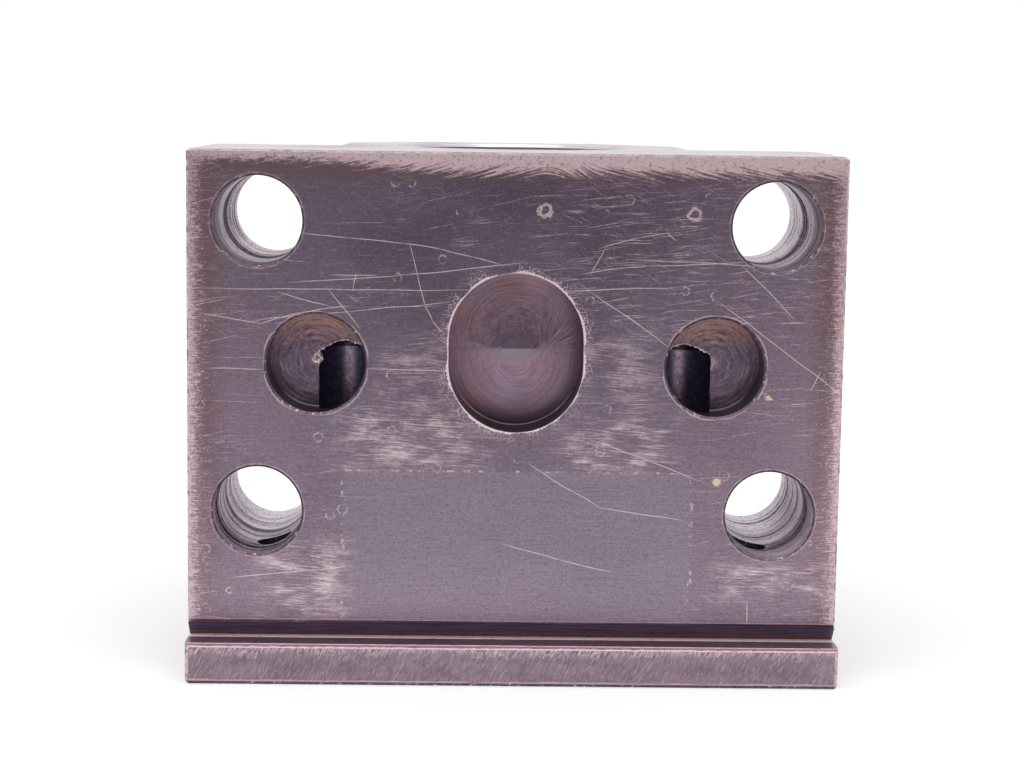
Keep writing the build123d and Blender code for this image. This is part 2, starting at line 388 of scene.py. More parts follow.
# Ring dents: the places (x, z) of those with the same radius.
LARGE_DENTS = {0.85: ((4.2, 72), (26.4, 71.7))}
SMALL_DENTS = {
    0.75: (
        (10.7, 74.3), (16.7, 73.8), (30, 59.6), (-18.8, 47), (-46.9, 19.9), (-26.1, 26.4), (13, 35.6),
        (31.9, 32.1),
    ),
    0.7: ((-29.8, 37.4), (-31.8, 29.7), (0.5, 34.5)),
    0.6: (
        (-18.4, 75.9), (-15.9, 75.9), (-8.7, 71.8), (13, 71.7), (-11.3, 64.6), (-17.9, 61.8), (25.4, 60.3),
        (-18.6, 38.6), (-46.6, 18.2), (-33.9, 17.4), (-46.7, 13.7), (-27.9, 25.4), (-11.8, 32.8), (8.6, 35.8),
        (14, 42), (36.1, 49.9), (43.3, 14.8), (40.3, 16), (-47.1, 46.6), (-47.6, 42.1), (11, 58.7),
    ),
    0.45: ((-27, 67.5), (28.6, 74.4), (-43.3, 13.6), (45.1, 21.9)),
}
# Rectangles on the base face as x from and to, z from and to: the smoother zone at the bottom, and how
# strongly the face is rubbed bright in others.
ZONE = (-26, 27, 4, 32.4)
RUBBED = {
    (-25.7, -5.3, 33, 41): 1, (7, 23.6, 32.8, 40.5): 1, (-20.5, -10, 41.7, 50.8): 0.6,
    (-38.6, -25.6, 9.8, 21): 1, (31.7, 47.3, 12.8, 18.2): 1, (6.6, 20.6, 43.5, 54.2): 0.6,
}
CROWDED = (4, 47, 53, 77)
CHIPS = ((30.9, 31, 0.75), (38.3, 44.3, 0.6))


class Face(Graph):
    """The base face's material, with the noises that its parts share."""

    def __init__(self):
        super().__init__("base_face_steel", 0.85, 0.42)
        wobble = self.vector("SUBTRACT", self.noise(0.12, 1, colours=True), (0.5, 0.5, 0.5))
        self.bent = self.vector("ADD", self.place, self.vector("SCALE", wobble, Scale=0.7))
        self.broken = self.noise(0.9, 3, 0.65)
        self.cloud = self.noise(0.05, 4, 0.6)
        self.fine = self.noise(3, 2, 0.6)
        self.grain = self.drawn((0.9, 1, 0.45), 4, 0.75)
        self.lines = self.drawn((9, 1, 0.16), 4, 0.6, (0, -1.5, 0))
        self.zone = self.patch(ZONE, soft=0.012)


def face_oxide(g):
    """The oxide, darker at the top middle and paler below: partly the oxide's thickness, partly painted shade
    above and painted light below.
    """
    # Painted shade and light: darker round the top middle and paler away from it, partly thicker oxide.
    deep = g.vector("LENGTH", g.stretch(g.place, (64, 100, 54), centre=(-3, BASE_Y, 76)))
    g.start(FACE_LOW, FACE_HIGH, deep, 1.2, 0.15)
    g.fade(FACE_BLUE, g.cloud, 0.42, 0.62, 0.35)
    g.tinge(FACE_ZONE, g.zone, 0.8)
    g.fade(FACE_SHADE, g.lines, 0.52, 0.36, 0.22)
    g.fade(FACE_SHADE, g.grain, 0.5, 0.32, 0.4)
    g.fade(FACE_PALE, g.grain, 0.52, 0.72, 0.14)
    g.fade(FACE_SHADE, g.fine, 0.46, 0.34, 0.28)
    g.fade(FACE_PALE, g.fine, 0.56, 0.68, 0.14)


def face_borders(g):
    """Browns the sides and the top, and gives where the edges are worn and may be pitted."""
    edge_lines = g.drawn((2.6, 1, 0.2), 4, 0.7, (0, -2, 0))
    from_left = g.minus(g.x, LOW[0])
    from_right = g.minus(HIGH[0], g.x)
    from_top = g.minus(HIGH[2], g.z)
    from_side = g.math("MINIMUM", from_left, from_right)
    brown = g.most(g.smooth(from_left, 7, 3), g.smooth(from_top, 6, 2), g.smooth(from_right, 6, 3))
    g.tinge(FACE_BROWN, brown, g.smooth(g.z, 20, 50, 0.4, 1), g.smooth(g.cloud, 0.3, 0.6, 0.5, 1), 0.8)

    speckled = g.times(g.minus(g.grain, 0.5), 5)
    ragged = g.plus(g.times(g.minus(edge_lines, 0.5), 9), speckled)
    side_band = g.smooth(g.plus(from_side, ragged), g.smooth(g.z, 24, 60, 1.5, 2), 0.6)
    side_lines = g.times(g.smooth(edge_lines, 0.53, 0.62), g.smooth(from_side, 6.5, 2))
    side_lines = g.times(side_lines, g.smooth(g.fine, 0.4, 0.6))
    lean = g.smooth(g.x, 2, 12, -0.3, 0.24)
    leaning = g.join(g.x, g.y, g.plus(g.z, g.times(g.x, lean)))
    rising = g.drawn((6, 1, 0.3), 5, 0.65, place=leaning)
    slanting = g.times(g.minus(rising, 0.5), g.smooth(g.x, -32, -14, 2.5, 8))
    shade = g.plus(slanting, g.times(speckled, g.smooth(g.x, -32, -14, 0.9, 0.5)))
    depth = g.smooth(g.x, -34, -8, 1.3, 2.7)
    top = g.smooth(g.minus(g.plus(from_top, shade), depth), 0.7, -0.6)
    worn = g.most(
        g.times(side_band, g.smooth(g.fine, 0.3, 0.6, 0.3, 0.75)),
        g.times(side_lines, 0.6),
        g.times(top, g.smooth(g.x, -46, -14, 0.85, 1), g.smooth(g.fine, 0.3, 0.6, 0.75, 1)),
        g.times(g.smooth(g.z, FACE_LOW_Z + 0.5, FACE_LOW_Z + 0.2), g.smooth(g.broken, 0.35, 0.55, 0.4, 0.9)),
    )
    return worn, g.most(side_band, top)


def face_hairs(g):
    """Random scratches, crowded in some fields and few in the zone."""
    quiet = g.minus(1, g.times(g.zone, 0.75))
    fields = g.smooth(g.drawn((16, 1, 10), 3), 0.46, 0.64)
    fields = g.times(g.most(g.times(fields, 0.8), g.patch(CROWDED, soft=0.3)), quiet)
    hairs = g.most(
        g.hairs(g.bent, 8, 0.11, 2, 0.65, 0.71),
        g.hairs(g.bent, 10, 0.11, 9, 0.655, 0.72),
        g.times(g.hairs(g.bent, 7, 0.1, -33, 0.67, 0.74), 0.8),
    )
    long_marks = g.marks(9, 8.6, 0.09, 4, 10, 0.8)
    mid_marks = g.marks(4.4, 4.2, 0.08, 6, 30, 0.8, shift=40)
    return g.most(
        g.times(g.hairs(g.bent, 11, 0.11, 0, 0.68, 0.74), quiet, 0.4),
        g.times(hairs, fields, g.smooth(g.broken, 0.38, 0.58, 0.35, 1)),
        g.times(long_marks, g.smooth(g.broken, 0.4, 0.6, 0.2, 0.8), quiet),
        g.times(mid_marks, g.smooth(g.fine, 0.35, 0.6, 0.1, 0.7), fields),
    )


def face_rims(g):
    """The pocket's bright rim, and the scratches round all openings."""
    side = g.math("ABSOLUTE", g.x)
    weak = g.smooth(g.noise(0.24), 0.38, 0.6)
    reach, rays = g.around(g.x, above_slot(g), 0.9, 0.02)
    past_pocket = g.minus(reach, POCKET_R)
    pocket_rim = g.smooth(g.minus(past_pocket, g.times(weak, g.fine, 0.6)), 0.1, 0)
    fuzz_reach = g.smooth(past_pocket, g.plus(g.times(weak, 2.2), 0.5), 0.1)
    pocket_fuzz = g.times(g.smooth(g.jitter(rays, fuzz_reach, 0.06), 0.6, 0.68), fuzz_reach)
    tangle = g.most(g.marks(0.8, 1.3, 0.1, 45, 50, 0.9, 90), g.marks(0.9, 1.4, 0.1, -30, 50, 0.9, 70))
    tangle = g.times(tangle, g.smooth(past_pocket, 2.9, 0.3), weak)
    past_port, port_rays = g.around(g.minus(side, PORT_X), g.minus(g.z, PORT_Z), 1.4, 0.024)
    past_port = g.minus(past_port, PORT_R)
    port_rim = g.smooth(g.minus(past_port, g.times(g.fine, weak, 0.5)), 0.42, 0.32)
    port_fuzz = g.times(g.smooth(port_rays, 0.6, 0.7), g.smooth(past_port, 2.2, 0.2), weak)
    bolt_z = g.math("ABSOLUTE", g.minus(g.z, BOLT_Z))
    bolt_far = g.join(g.minus(side, BOLT_X), 0, g.minus(bolt_z, BOLT_HALF_Z))
    bolt_rim = g.math("COMPARE", g.vector("LENGTH", bolt_far), BOLT_R + 0.42, 0.09)
    return pocket_rim, g.most(
        g.times(g.most(pocket_fuzz, tangle), 0.85),
        g.times(port_rim, 0.5),
        g.times(port_fuzz, 0.7),
        g.times(bolt_rim, g.smooth(g.broken, 0.4, 0.62, 0.1, 0.45)),
    )


def zone_border(g):
    """A broken pale line round the smoother zone."""
    left, right, _, top = ZONE
    strips = [(edge - 0.3, edge + 0.3, 9, 32.5) for edge in (left, right)]
    strips.append((left, right, top - 0.15, top + 0.15))
    border = g.most(*[g.patch(strip, soft=0.02) for strip in strips])
    return g.times(border, g.smooth(g.broken, 0.54, 0.64), 0.7)


def face_rubbed(g):
    """Streaks in the rubbed rectangles."""
    areas = g.most(*[g.times(g.patch(corners, soft=0.45), level) for corners, level in RUBBED.items()])
    streak = g.drawn((4.6, 1, 0.26), 6, 0.75, (0, 4, 0), g.bent)
    blobs = g.drawn((5, 1, 2.4), 3)
    rubbed_and_highlight = g.times(areas, g.smooth(g.jitter(streak, blobs, 0.6), 0.74, 0.96))
    return g.times(rubbed_and_highlight, g.smooth(g.grain, 0.36, 0.6, 0.55, 0.95))


def face_dents(g):
    """The placed scratches, the large dents with ragged rings and the small ones with gaps."""
    ragged = g.math("MULTIPLY_ADD", g.broken, 1.6, -0.8)
    gaps = g.smooth(g.noise(0.8), 0.42, 0.6)
    return g.most(
        g.times(g.strokes(g.bent, SCRATCHES, 0.12), g.smooth(g.broken, 0.3, 0.5, 0.6, 1)),
        g.times(g.rings(g.bent, LARGE_DENTS, 0.3, ragged), g.smooth(g.fine, 0.35, 0.6, 0.3, 0.9)),
        g.times(g.rings(g.bent, SMALL_DENTS, 0.13), gaps, g.smooth(g.fine, 0.38, 0.6, 0.1, 0.6)),
    )


def face_chips(g):
    """Tiny bright chips."""
    spots = []
    for x, z, radius in CHIPS:
        distance = g.jitter(g.vector("DISTANCE", g.bent, (x, BASE_Y, z)), g.broken, 2.2)
        spots.append(g.smooth(distance, radius + 1.05, radius + 0.9))
    return g.most(*spots)


def base_face_steel():
    """The worn base face: thin oxide with rubbed patches, scratches and dents."""
    g = Face()
    face_oxide(g)
    worn, pitted = face_borders(g)
    pocket_rim, rims = face_rims(g)
    g.tinge(FACE_PALE, g.most(face_hairs(g), rims, zone_border(g), face_rubbed(g), face_dents(g)))
    g.tinge(FACE_RIM, pocket_rim, g.smooth(g.fine, 0.3, 0.5, 0.55, 1))
    g.tinge(FACE_WORN, worn)
    g.fade(FACE_BROWN, g.noise(1.5, 3), 0.57, 0.66, pitted, 0.5)
    g.tinge((232, 214, 190), face_chips(g))
    rough = g.smooth(g.jitter(g.times(g.fine, 0.5), g.cloud, 0.5), 0.3, 0.7, 0.36, 0.5)
    return g.finish(rough, g.jitter(g.lines, g.grain, 0.5), 0.008)


def ramp(g, value, stops):
    """A colour ramp with stops given as place and shade."""
    node = g.node("ValToRGB", [value])
    elements = node.color_ramp.elements
    while len(elements) < len(stops):
        elements.new(0.5)
    for element, (place, shade) in zip(elements, stops):
        element.position = place
        element.color = linear(shade)
    return node.outputs[0]


# From the mouth of a bolt hole to its back. Its near-white stops are bare steel together with painted light
# from behind the block.
BOLT_WALL_STOPS = (
    (0, (112, 86, 114)), (0.14, (124, 98, 124)), (0.22, (140, 116, 138)), (0.26, (250, 242, 248)),
    (0.33, (204, 192, 202)), (0.4, (236, 226, 234)), (0.44, (60, 50, 64)), (0.49, (190, 176, 188)),
    (0.53, (66, 56, 70)), (0.58, (246, 238, 244)), (0.78, (250, 244, 248)), (0.82, (170, 160, 168)),
    (0.86, (250, 244, 248)), (1, (240, 232, 238)),
)


def bolt_wall_steel():
    """The walls of the bolt holes: oxide at the mouth, then torn rings, then bare steel painted near white,
    partly as painted light.
    """
    g = Graph("bolt_wall_steel", 0.75, 0.4)
    g.shader.inputs["Specular Tint"].default_value = (0.82, 0.76, 0.82, 1)
    turns = g.drawn((9, 0.32, 9), 4, 0.7)
    drift = g.drawn((14, 6, 14), 2)
    depth = g.math("DIVIDE", g.minus(g.y, BASE_Y), FLANGE)
    depth = g.jitter(depth, g.minus(drift, 0.5), 0.22)
    g.tint = ramp(g, depth, BOLT_WALL_STOPS)
    g.fade((60, 50, 62), turns, 0.45, 0.34, g.smooth(depth, 0.15, 0.3, 0.6, 0.8))
    g.fade((236, 222, 228), turns, 0.54, 0.7, g.smooth(depth, 0.1, 0.3, 0.7, 1))
    collar = g.drawn((14, 1.3, 14), 2, 0.6)
    near_mouth = g.smooth(depth, 0.3, 0.22)
    g.fade((52, 40, 56), collar, 0.5, 0.4, near_mouth, 0.6)
    g.fade((226, 200, 206), collar, 0.52, 0.64, near_mouth, 0.6)
    # Painted light: the lower holes are painted paler, the right one most.
    g.tinge((226, 212, 222), g.smooth(g.x, -5, 5, 0.1, 0.4), g.smooth(g.z, BOLT_Z + 5, BOLT_Z - 5))
    specks = g.noise(1.7, 3, 0.7)
    g.fade((70, 56, 66), specks, 0.56, 0.66, 0.8)
    g.fade((244, 236, 240), specks, 0.42, 0.34, 0.5)
    dull = g.times(g.smooth(depth, 0.35, 0.1, 0, 0.22), g.smooth(g.z, BOLT_Z - 5, BOLT_Z + 5, 0.3, 0.9))
    return g.finish(g.plus(dull, g.gloss(turns, 0.42, 0.26)), turns, 0.06)


def port_steel():
    """The counterbored ports: turning rings, a brown crescent at the top, a pale centre."""
    g = Graph("port_steel", 0.8, 0.42)
    side = g.minus(g.math("ABSOLUTE", g.x), PORT_X)
    up = g.minus(g.z, PORT_Z)
    radius, wide = g.around(side, up, 0.5, 0.9)
    _, narrow = g.around(side, up, 0.17, 0.5)
    grain = g.noise(1.6, 4, 0.7)
    g.start((110, 92, 110), (146, 125, 142), grain, 0.35, 0.65)
    brown = g.smooth(g.jitter(up, grain, 7), 5, 9.5)
    g.tinge((176, 138, 136), brown)
    g.tinge((212, 176, 150), brown, g.smooth(grain, 0.55, 0.66), 0.6)
    g.fade((66, 52, 66), wide, 0.5, 0.32, 0.75)
    g.fade((212, 186, 196), wide, 0.55, 0.7, 0.5)
    g.fade((76, 62, 76), narrow, 0.5, 0.35, 0.5)
    middle = g.smooth(g.jitter(radius, grain, 2.4), 2.6, 1.4)
    g.tinge((226, 200, 206), middle, g.smooth(narrow, 0.4, 0.6, 0.3, 0.9))
    # Painted shade: darker in the corner next to the wall.
    g.fade((92, 76, 92), radius, PORT_R - 0.25, PORT_R - 0.05, 0.7)
    # Painted highlight: a bright line in the corner at the bottom of the port.
    corner = g.times(g.smooth(radius, PORT_R - 0.36, PORT_R - 0.22), g.smooth(radius, PORT_R, PORT_R - 0.1))
    g.tinge((240, 226, 234), corner, g.smooth(up, -4.5, -6.5), 0.9)
    # Painted shade: darker towards the bottom and the middle of the block.
    shaded = g.smooth(g.jitter(side, up, 1.2), -4, -9.5)
    g.tinge((58, 46, 58), shaded, g.minus(1, corner), 0.5)
    return g.finish(g.gloss(grain, 0.32, 0.5), g.jitter(wide, narrow, 0.4), 0.05)


# Stains in the pocket, each with x, z and size.
STAINS = (
    (-1, 60.2, 3.2), (-7.5, 55.5, 2.6), (-6.5, 42.6, 2.4), (6.2, 41.2, 2.2), (0.5, 40.2, 2),
    (7.6, 55.6, 1.3),
)
RING_DARK = (88, 68, 84)
RING_PALE = (206, 182, 192)


def pocket_core(g, grain, nearest):
    """The lens where the two plunges meet: dark above and pale below, as painted shade on its upper half and
    a painted reflection on its lower half.
    """
    core = g.smooth(nearest, CORE_R + 0.05, CORE_R - 0.05)
    above = g.smooth(g.z, POCKET_MID_Z - 0.05, POCKET_MID_Z + 0.05)
    below = g.smooth(g.z, POCKET_MID_Z + 0.05, POCKET_MID_Z - 0.05)
    inner = g.vector("LENGTH", g.stretch(g.place, (3.2, 100, 1.9), centre=(0, 0, POCKET_MID_Z)))
    # Painted shade on the upper half, painted reflection of the bright floor on the lower half.
    g.tinge((140, 116, 136), core, above, g.smooth(grain, 0.3, 0.6, 0.5, 0.8))
    g.tinge((148, 130, 144), core, below, g.smooth(grain, 0.3, 0.6, 0.8, 0.95))
    g.tinge((142, 134, 150), core, g.smooth(inner, 1.05, 0.8), 0.4)


def pocket_borders(g, grain, up):
    """The pocket's dark corner and darker bottom, both painted shade, a bright line in the corner at the
    bottom as a painted highlight, and its pale mouth.
    """
    reach = g.vector("LENGTH", g.join(g.x, 0, above_slot(g)))
    # Painted shade in the corner, more to the right and below.
    corner = g.smooth(g.jitter(reach, grain, 0.8), POCKET_R - 2.2, POCKET_R + 0.3)
    g.tinge((92, 74, 90), corner, g.smooth(g.minus(g.x, g.times(up, 0.8)), -6, 8, 0.1, 0.8))
    # Painted shade over the bottom of the pocket.
    g.fade((78, 60, 78), g.jitter(g.z, grain, 2), 45, 40, 0.6)
    # Painted highlight: a bright line in the corner at the bottom.
    line = g.smooth(reach, POCKET_R - 0.4, POCKET_R - 0.28)
    line = g.times(line, g.smooth(reach, POCKET_R - 0.1, POCKET_R - 0.2))
    g.tinge((240, 220, 228), line, g.smooth(g.z, 44.5, 41), 0.8)
    g.fade(FACE_PALE, g.jitter(g.y, grain, 0.6), BASE_Y + 0.8, BASE_Y + 0.4, 0.5)


def pocket_steel():
    """The pocket, plunged twice with a flat cutter: its swirls run round two centres."""
    g = Graph("pocket_steel", 0.8, 0.4)
    grain = g.noise(1.4, 4, 0.7)
    upper, upper_rings = g.around(g.x, g.minus(g.z, POCKET_HIGH_Z), 0.2, 0.9, detail=1)
    lower, lower_rings = g.around(g.x, g.minus(g.z, POCKET_LOW_Z), 0.2, 0.9, detail=1)
    is_upper = g.smooth(g.z, POCKET_MID_Z - 0.2, POCKET_MID_Z + 0.2)
    swirl = g.plus(g.times(upper_rings, is_upper), g.times(lower_rings, g.minus(1, is_upper)))
    fan_x = g.minus(g.x, 4.4)
    up = g.minus(g.z, POCKET_MID_Z)
    fan_reach, blades = g.around(fan_x, up, 4, 0.06, detail=1)
    fan_above = g.smooth(g.jitter(up, fan_x, 0.3), -0.5, 2.5)
    near_fan = g.times(g.smooth(fan_reach, 8.5, 3), fan_above, g.smooth(fan_x, -2.5, 1.5))
    ringed = g.minus(1, g.times(near_fan, 0.8))
    g.start((142, 114, 132), (168, 138, 154), grain, 0.35, 0.65)
    # Painted light: the upper part of the pocket floor is painted paler.
    g.tinge((190, 160, 176), g.smooth(g.z, POCKET_HIGH_Z, POCKET_HIGH_Z + POCKET_R, 0, 0.7))
    g.fade((148, 134, 152), g.noise(0.16, 3), 0.5, 0.65, 0.4)
    for x, z, size in STAINS:
        far = g.vector("DISTANCE", g.place, (x, PORT_FLOOR_Y, z))
        stain = g.smooth(g.jitter(far, grain, size * 1.8), size * 2.2, size * 0.7)
        g.tinge((168, 116, 100), stain, g.smooth(grain, 0.36, 0.6, 0.25, 0.8))
    g.fade(RING_DARK, swirl, 0.5, 0.38, ringed, 0.3)
    g.fade(RING_PALE, swirl, 0.55, 0.66, ringed, 0.16)
    g.fade(RING_DARK, blades, 0.49, 0.36, near_fan, 0.6)
    g.fade(RING_PALE, blades, 0.54, 0.66, near_fan, 0.45)
    pocket_core(g, grain, g.most(upper, lower))
    pocket_borders(g, grain, up)
    return g.finish(g.gloss(grain, 0.34, 0.5), swirl, 0.022)


def passage_steel():
    """Thick oxide in the passages and tapped holes, with a pale stripe along the back of each passage as a
    painted highlight.
    """
    g = Graph("passage_steel", 0.85, 0.36)
    grain = g.noise(1.3, 4, 0.75)
    g.start((92, 86, 116), (130, 116, 146), grain, 0.4, 0.7)
    # Painted highlight: a pale stripe down the far wall of each passage, where it faces the opening.
    sideways = g.math("ABSOLUTE", g.minus(g.math("ABSOLUTE", g.x), PASSAGE_X - 0.2))
    rubbed_and_highlight = g.smooth(g.jitter(sideways, grain, 1.2), 2, 0.7)
    g.tinge((226, 196, 206), rubbed_and_highlight, g.smooth(grain, 0.4, 0.62, 0.2, 1))
    return g.finish(g.gloss(grain, 0.28, 0.5), grain, 0.06)


def burr_steel():
    """Torn bright metal that the drill left at the ports."""
    g = Graph("burr_steel", 0.8, 0.4)
    grain = g.noise(2.4, 3, 0.7)
    g.start((120, 98, 106), (238, 216, 216), grain, 0.36, 0.58)
    return g.finish(g.gloss(grain, 0.3, 0.5), grain, 0.03)


def lip_steel():
    """The ground front of the lip, worn pale along its upper edge."""
    g = Graph("lip_steel", 0.9, 0.4)
    lines = g.drawn((0.13, 1, 1.1), 3, 0.65, (0, 27, 0))
    cloud = g.drawn((5, 1, 2.5), 4, 0.65)
    grain = g.noise(1.6, 3, 0.7)
    g.start((138, 117, 131), (156, 134, 147), cloud, 0.35, 0.65)
    g.fade((104, 84, 101), lines, 0.5, 0.36, 0.45)
    g.fade((206, 186, 192), lines, 0.54, 0.66, 0.38)
    uneven = g.minus(cloud, 0.5)
    worn = g.smooth(g.jitter(g.minus(SEAT_Z - 0.55, g.z), uneven, 5), 1.5, 0)
    teeth = g.smooth(g.jitter(lines, grain, 0.6), 0.72, 0.88)
    g.tinge((222, 198, 204), worn, teeth, 0.8)
    g.fade((216, 190, 194), g.plus(g.z, uneven), 0.85, 0.7, 0.6)
    g.tinge((220, 200, 206), g.marks(5, 4.5, 0.12, 60, 25, 0.5), g.smooth(grain, 0.4, 0.6), 0.7)
    g.fade((92, 74, 86), grain, 0.66, 0.74, 0.5)
    return g.finish(g.gloss(grain, 0.34, 0.46), lines, 0.006)


def seat_steel():
    """The ground seat on top of the lip."""
    g = Graph("seat_steel", 0.85, 0.4)
    lines = g.drawn((8, 0.3, 8), 3, 0.6)
    grain = g.noise(1.2, 3, 0.7)
    g.start((140, 112, 136), (176, 138, 148), lines, 0.3, 0.7)
    g.fade(FACE_PALE, grain, 0.6, 0.7, 0.4)
    return g.finish(g.gloss(grain, 0.34, 0.46), lines, 0.01)


def undercut_steel():
    """The slope of the relief groove above the lip."""
    g = Graph("undercut_steel", 0.85, 0.42)
    lines = g.drawn((7, 0.3, 0.3), 3, 0.6)
    g.start((68, 56, 76), (104, 90, 110), lines, 0.3, 0.7)
    g.fade((150, 104, 106), g.z, SEAT_Z + 1, SEAT_Z + 0.3, 0.6)
    return g.finish(g.gloss(lines, 0.36, 0.5), lines, 0.01)


def groove_pale_highlight():
    """The relief groove's floor, painted pale and uneven as a painted highlight of the light from above."""
    g = Graph("groove_pale_highlight", 0.25, 0.7)
    grain = g.drawn((1.6, 0.5, 1), 4, 0.7)
    g.start((150, 118, 122), (255, 234, 238), grain, 0.3, 0.46)
    return g.finish(g.gloss(grain, 0.8, 0.6), grain, 0.03)


def end_steel():
    """The ground ends of the block."""
    g = Graph("end_steel", 0.7, 0.3)
    lines = g.drawn((16, 0.2, 16), 4, 0.6, (0, 0, 4))
    bands = g.drawn((40, 2.5, 40), 2, turn=(0, 0, 4))
    grain = g.noise(0.8, 4, 0.7)
    g.start((186, 179, 183), (230, 225, 227), lines, 0.3, 0.7)
    g.fade((160, 148, 156), bands, 0.5, 0.7, 0.5)
    g.fade((150, 132, 142), g.noise(0.05), 0.5, 0.7, 0.5)
    flat = g.join(g.x, 0, g.y)
    ground = g.most(g.hairs(flat, 9, 0.14, 20, 0.66, 0.72), g.hairs(flat, 7, 0.14, -35, 0.68, 0.74))
    g.tinge((238, 232, 235), ground, 0.5)
    g.tinge((214, 196, 202), edge_wear(g, 1.4, g.minus(grain, 0.4)), 0.6)
    g.fade((150, 118, 108), g.noise(0.3, 4, 0.7), 0.64, 0.74, 0.4)
    return g.finish(g.gloss(lines, 0.46, 0.34), lines, 0.006)


def bore_steel():
    """The honed bore of the bar."""
    g = Graph("bore_steel", 1, 0.25)
    lines = g.drawn((6, 6, 0.12), 3, 0.6)
    g.start((186, 178, 184), (226, 220, 224), lines, 0.3, 0.7)
    return g.finish(g.gloss(lines, 0.32, 0.2), lines, 0.008)


def screw_steel():
    g = Graph("screw_black_oxide", 0.9, 0.35)
    grain = g.noise(1.2, 4, 0.6)
    g.start((52, 50, 54), (74, 70, 76), grain, 0.35, 0.65)
    g.tinge(BARE, edge_wear(g, 0.5, g.minus(grain, 0.35)), 0.7)
    return g.finish(g.gloss(grain, 0.28, 0.44), grain, 0.01)


def jet_brass():
    g = Graph("jet_brass_worn", 1, 0.3)
    grain = g.noise(1.1, 5, 0.65)
    g.start((158, 124, 74), (206, 172, 108), grain, 0.3, 0.7)
    return g.finish(g.gloss(grain, 0.2, 0.42), grain, 0.01)


def from_slot(x, z):
    """How far a place is from the middle line of the pocket's slot."""
    return math.hypot(x, z - min(max(z, POCKET_LOW_Z), POCKET_HIGH_Z))


def lip_region(y, z, normal, slanted):
    """The region of a face on the lip or in the relief groove above it."""
    if normal.z > 0.9 and y < BASE_Y and z > SEAT_Z - NEAR:
        return "seat"
    if normal.y < -0.9 and y < LIP_NEAR_Y:
        return "lip"
    if y > BASE_Y - NEAR and not (normal.z < -0.5 and z < 1):
        return "groove" if normal.z > 0.9 else "undercut"
    if slanted and abs(normal.z) > 0.5:
        return "lip_edge" if normal.z > 0 else "mouth"
    return "rim" if slanted else "outer"


def region_of(centre, normal):
    """The region of the block that a face belongs to."""
    x, y, z = [mm(value) for value in centre]
    side = abs(x)
    slanted = 0.5 < abs(normal.y) < 0.9
    off_passage = math.hypot(side - PASSAGE_X, y - PASSAGE_Y)
    if off_passage < PASSAGE_REACH and NEAR < z < PASSAGE_TOP and y > PORT_FLOOR_Y + NEAR:
        return "passage"
    off_tapped = math.hypot(side - TAPPED_X, y - TAPPED_Y)
    if off_tapped < TAPPED_REACH and 2 * NEAR < z < TAPPED_TOP and abs(normal.y) < 0.999:
        if math.hypot(side - BOLT_X, z - BOLT_ROWS[0]) > BOLT_R + NEAR:
            return "passage"
    if any(math.hypot(side - BOLT_X, z - row) < BOLT_R + BOLT_RIM for row in BOLT_ROWS):
        return "mouth" if slanted else "bolt_wall"
    if math.hypot(side - PORT_X, z - PORT_Z) < PORT_R + PORT_RIM and y < PORT_FLOOR_Y + NEAR:
        return "mouth" if slanted and y < BASE_Y + 1 else "port"
    if from_slot(x, z) < POCKET_R + POCKET_RIM and y < POCKET_BACK_Y:
        return "pocket"
    if math.hypot(x, y) < BORE_R + BORE_RIM:
        return "bore"
    if y < GROOVE_BACK_Y and z < FACE_LOW_Z + 0.01:
        return lip_region(y, z, normal, slanted)
    if abs(y - BASE_Y) < 0.02 and normal.y < -0.99:
        return "base"
    on_housing = y > 0 and side < HOUSING_X - 0.5 and abs(normal.x) > 0.5
    in_root = y < 0 and side < HOUSING_X + HOUSING_ROOT
    if slanted and (on_housing or in_root):
        return "outer"
    if slanted or 0.5 < abs(normal.z) < 0.9:
        return "rim"
    return "end" if abs(normal.z) > 0.99 and not NEAR < z < HIGH[2] - NEAR else "outer"


# Depths in the bolt holes: where the torn rings of the upper and the lower ones start, where the upper ones
# have a torn groove, and how far before the back the rings end.
TORN_FROM = 8.2
TORN_FROM_LOW = 2.4
GROOVE_FROM, GROOVE_TO = 15, 20.5
TORN_END = 1.5


def torn_rings(draw, upper):
    """Places along a bolt hole, each with how far the drill tore out of its wall there."""
    rings = []
    depth = TORN_FROM if upper else TORN_FROM_LOW
    while depth < FLANGE - TORN_END:
        in_groove = upper and GROOVE_FROM < depth < GROOVE_TO
        deep = in_groove or draw.random() < (0.2 if upper else 0.35)
        out = draw.uniform(0.12, 0.28) if deep else draw.uniform(0.02, 0.08)
        rings.append((BASE_Y + depth, out if len(rings) % 2 else 0.01))
        depth += draw.uniform(0.25, 0.65)
    return rings


def on_side(face, side, bolt_z):
    middle = face.calc_center_median()
    return middle.x * side > 0 and abs(mm(middle.z) - bolt_z) < BOLT_R + 0.5


def cut_ring(form, wall, side, bolt_z, place):
    """Cuts the wall of one bolt hole along a ring."""
    walls = [face for face in form.faces if face.material_index == wall and on_side(face, side, bolt_z)]
    edges = {edge for face in walls for edge in face.edges}
    points = {point for face in walls for point in face.verts}
    geom = [*walls, *edges, *points]
    bmesh.ops.bisect_plane(form, geom=geom, plane_co=(0, place * MM, 0), plane_no=(0, 1, 0), dist=1e-7)


def push_ring(form, wall, side, bolt_z, place, out):
    """Moves the points of one ring outwards, apart from those at the ends of the wall."""
    for point in form.verts:
        on_ring = abs(point.co.y - place * MM) <= 1e-6 and point.link_faces
        if on_ring and all(face.material_index == wall for face in point.link_faces):
            across = Vector((mm(point.co.x) - side * BOLT_X, 0, mm(point.co.z) - bolt_z))
            if across.length < BOLT_R + 0.1:
                point.co += across.normalized() * out * MM


